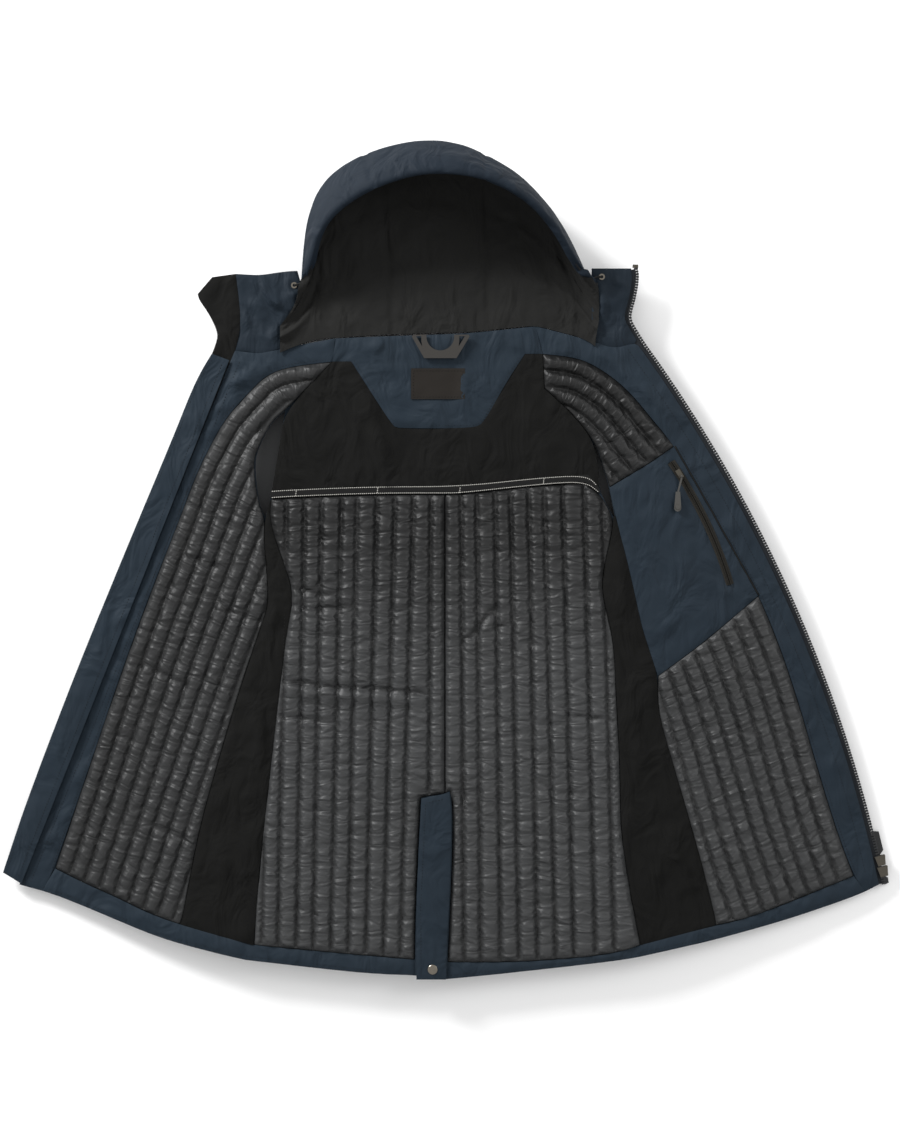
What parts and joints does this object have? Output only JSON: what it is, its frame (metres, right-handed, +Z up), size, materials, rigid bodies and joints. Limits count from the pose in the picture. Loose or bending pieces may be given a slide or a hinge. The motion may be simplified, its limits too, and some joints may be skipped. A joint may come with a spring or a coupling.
{
  "type": "foul weather jacket",
  "caption": "Hooded, quilted sailing parka lying open on its back, lining up, with a two-way front zip, storm flap, snapped back vent, chest pocket and hanger loop.",
  "frame": {"origin": "on the floor, under the middle of the jacket's outline as it lies open", "axes": "+Z up from the floor, +Y from the hem to the hood, +X towards the wearer's left"},
  "size_m": [1.1578, 1.0871, 0.112],
  "materials": {
    "shell_navy": "matte, smooth woven soft shell",
    "collar_navy": "matte, smooth woven soft shell",
    "hem_navy": "matte, smooth woven soft shell",
    "quilt_grey": "satin nylon quilted in narrow channels",
    "jersey_black": "matte stretch jersey",
    "hood_jersey": "matte brushed jersey",
    "lining_grey": "satin nylon",
    "woven_tape": "woven tape with pale edge lines",
    "label_brown": "woven label with a stitched border",
    "zip_tape": "ribbed zip tape",
    "zip_plastic": "moulded, semi-gloss",
    "gunmetal": "dark antique metal",
    "pocket_zip_brown": "coated zip tape and coil",
    "pull_rubber": "soft moulded rubber",
    "snap_nickel": "antique nickel",
    "loop_rubber": "moulded, matte",
    "cord_black": "braided cord"
  },
  "bodies": {
    "jacket": {"shell_front_right": "shell_navy", "shell_front_left": "shell_navy", "shell_back_right": "shell_navy", "shell_back_left": "shell_navy", "quilt_front_right": "quilt_grey", "quilt_front_left_upper": "quilt_grey", "quilt_front_left_lower": "quilt_grey", "quilt_back_right": "quilt_grey", "quilt_back_left": "quilt_grey", "side_gusset_right": "jersey_black", "side_gusset_left": "jersey_black", "front_facing_right": "shell_navy", "front_facing_left": "shell_navy", "hem_facing_right": "hem_navy", "hem_facing_left": "hem_navy", "yoke_lining": "jersey_black", "yoke_tape": "woven_tape", "neck_facing": "shell_navy", "neck_label": "label_brown", "vent_facing": "shell_navy", "pocket_panel": "shell_navy", "pocket_bag": "lining_grey", "pocket_zip_tape": "pocket_zip_brown", "pocket_zip_coil": "pocket_zip_brown", "collar_shell_right": "collar_navy", "collar_shell_left": "collar_navy", "collar_facing_right": "collar_navy", "collar_facing_left": "collar_navy", "chin_guard": "jersey_black", "zip_tape_right": "zip_tape", "zip_tape_left": "zip_tape", "zip_teeth_right": "zip_plastic", "zip_teeth_left": "zip_plastic", "zip_pin_right": "zip_plastic", "zip_top_stop_left": "gunmetal", "snap_stud": "snap_nickel", "hood_shell": "shell_navy", "hood_brim": "shell_navy", "hood_lining": "hood_jersey", "hood_drawcord": "cord_black", "cord_eyelets": "snap_nickel", "sleeve_shell_right": "shell_navy", "sleeve_shell_left": "shell_navy", "sleeve_lining_right": "lining_grey", "sleeve_lining_left": "lining_grey", "cuff_facing_right": "shell_navy", "cuff_facing_left": "shell_navy"},
    "storm_flap": {"storm_flap": "shell_navy"},
    "vent_flap": {"vent_flap": "shell_navy", "snap_cap": "snap_nickel", "snap_socket": "snap_nickel"},
    "hanger_loop": {"hanger_loop": "loop_rubber"},
    "slider_lower": {"slider_lower": "gunmetal"},
    "slider_upper": {"slider_upper": "gunmetal"},
    "slider_pull_upper": {"slider_pull_upper": "zip_plastic"},
    "slider_pull_lower": {"slider_pull_lower": "zip_plastic"},
    "pocket_slider": {"pocket_slider": "gunmetal"},
    "pocket_pull": {"pocket_pull": "pull_rubber"}
  },
  "joints": [
    {"name": "storm_flap_fold", "type": "hinge", "parent": "jacket", "child": "storm_flap", "pos_m": [-0.28159, 0.26045, 0.0351], "axis": [0.3708, 0.9284, 0.0244], "range_deg": [0, 165]},
    {"name": "vent_flap_fold", "type": "hinge", "parent": "jacket", "child": "vent_flap", "pos_m": [0.00755, -0.42255, 0.0368], "axis": [0, 1, 0], "range_deg": [0, 170]},
    {"name": "hanger_loop_swing", "type": "hinge", "parent": "jacket", "child": "hanger_loop", "pos_m": [-0.00795, 0.29295, 0.0356], "axis": [-1, 0, 0], "range_deg": [0, 100]},
    {"name": "slider_lower_travel", "type": "hinge", "parent": "jacket", "child": "slider_lower", "pos_m": [-1.23271, -0.80855, 0.12453], "axis": [0.0657, 0, 0.9978], "range_deg": [0, 11]},
    {"name": "slider_upper_travel", "type": "hinge", "parent": "slider_lower", "child": "slider_upper", "pos_m": [-1.23271, -0.80855, 0.12453], "axis": [0.0657, 0, 0.9978], "range_deg": [0, 11]},
    {"name": "slider_pull_upper_swing", "type": "hinge", "parent": "slider_upper", "child": "slider_pull_upper", "pos_m": [0.56574, -0.38764, 0.00353], "axis": [-0.9722, -0.2253, 0.064], "range_deg": [0, 120]},
    {"name": "slider_pull_lower_swing", "type": "hinge", "parent": "slider_lower", "child": "slider_pull_lower", "pos_m": [0.57072, -0.40962, 0.00321], "axis": [0.9739, 0.2176, -0.0641], "range_deg": [0, 120]},
    {"name": "pocket_slider_travel", "type": "hinge", "parent": "jacket", "child": "pocket_slider", "pos_m": [-0.16602, -0.19155, 0.05431], "axis": [-0.0657, 0, -0.9978], "range_deg": [0, 14.5]},
    {"name": "pocket_pull_swing", "type": "hinge", "parent": "pocket_slider", "child": "pocket_pull", "pos_m": [0.30545, 0.11009, 0.0332], "axis": [-0.9978, 0, 0.0657], "range_deg": [0, 150]}
  ]
}
